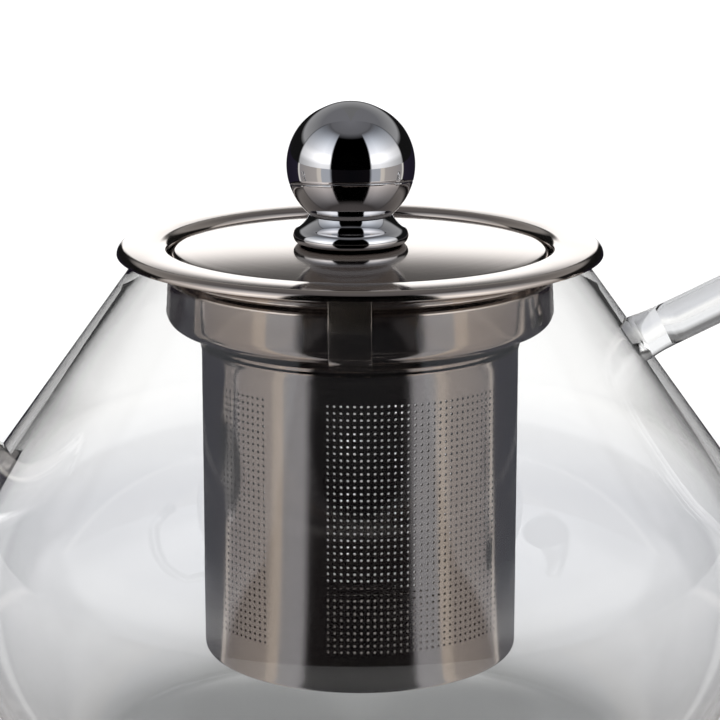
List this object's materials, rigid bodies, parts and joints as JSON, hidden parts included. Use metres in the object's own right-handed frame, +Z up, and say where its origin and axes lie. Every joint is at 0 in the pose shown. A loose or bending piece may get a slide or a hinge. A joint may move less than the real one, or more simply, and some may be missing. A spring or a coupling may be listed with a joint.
{
  "type": "teapot",
  "caption": "Clear glass teapot with a conical shoulder, bent spout, tube handle, lift-out perforated steel infuser and a steel lid with a ball knob.",
  "frame": {"origin": "centre of the pot's flat base, on the surface it stands on", "axes": "+Z up along the pot's axis, +X towards the handle, -X towards the spout, -Y towards the viewer"},
  "size_m": [0.2441, 0.158, 0.1336],
  "materials": {
    "clear_glass": "blown clear borosilicate glass, smooth and glossy",
    "polished_steel": "polished stainless steel",
    "perforated_steel": "bright rolled stainless sheet, finely perforated",
    "spring_steel": "bright spring steel strip",
    "mirror_steel": "mirror polished stainless steel",
    "plain_steel": "turned stainless steel"
  },
  "bodies": {
    "pot": {"glass_body": "clear_glass", "spout": "clear_glass", "handle": "clear_glass"},
    "infuser": {"infuser_collar": "polished_steel", "basket_wall": "perforated_steel", "basket_base": "perforated_steel"},
    "clip_front": {"clip_front": "spring_steel"},
    "clip_rear_right": {"clip_rear_right": "spring_steel"},
    "clip_rear_left": {"clip_rear_left": "spring_steel"},
    "lid": {"lid_dome": "polished_steel", "lid_ring": "polished_steel", "knob_foot": "mirror_steel", "knob_lower_shell": "mirror_steel", "knob_upper_shell": "mirror_steel", "knob_nut": "plain_steel", "lid_screw": "plain_steel", "lid_washer": "plain_steel"}
  },
  "joints": [
    {"name": "infuser_lift", "type": "slide", "parent": "pot", "child": "infuser", "axis": [0, 0, 1], "range_m": [0, 0.1]},
    {"name": "lid_lift", "type": "slide", "parent": "infuser", "child": "lid", "axis": [0, 0, 1], "range_m": [0, 0.05]},
    {"name": "clip_front_flex", "type": "hinge", "parent": "infuser", "child": "clip_front", "pos_m": [-0.00153, -0.03236, 0.0878], "axis": [-0.9989, 0.0471, 0], "range_deg": [0, 2], "stiffness_Nm_per_rad": 0.6},
    {"name": "clip_rear_right_flex", "type": "hinge", "parent": "infuser", "child": "clip_rear_right", "pos_m": [0.02879, 0.01486, 0.0878], "axis": [0.4586, -0.8886, 0], "range_deg": [0, 2], "stiffness_Nm_per_rad": 0.6},
    {"name": "clip_rear_left_flex", "type": "hinge", "parent": "infuser", "child": "clip_rear_left", "pos_m": [-0.02727, 0.0175, 0.0878], "axis": [0.5402, 0.8415, 0], "range_deg": [0, 2], "stiffness_Nm_per_rad": 0.6}
  ]
}
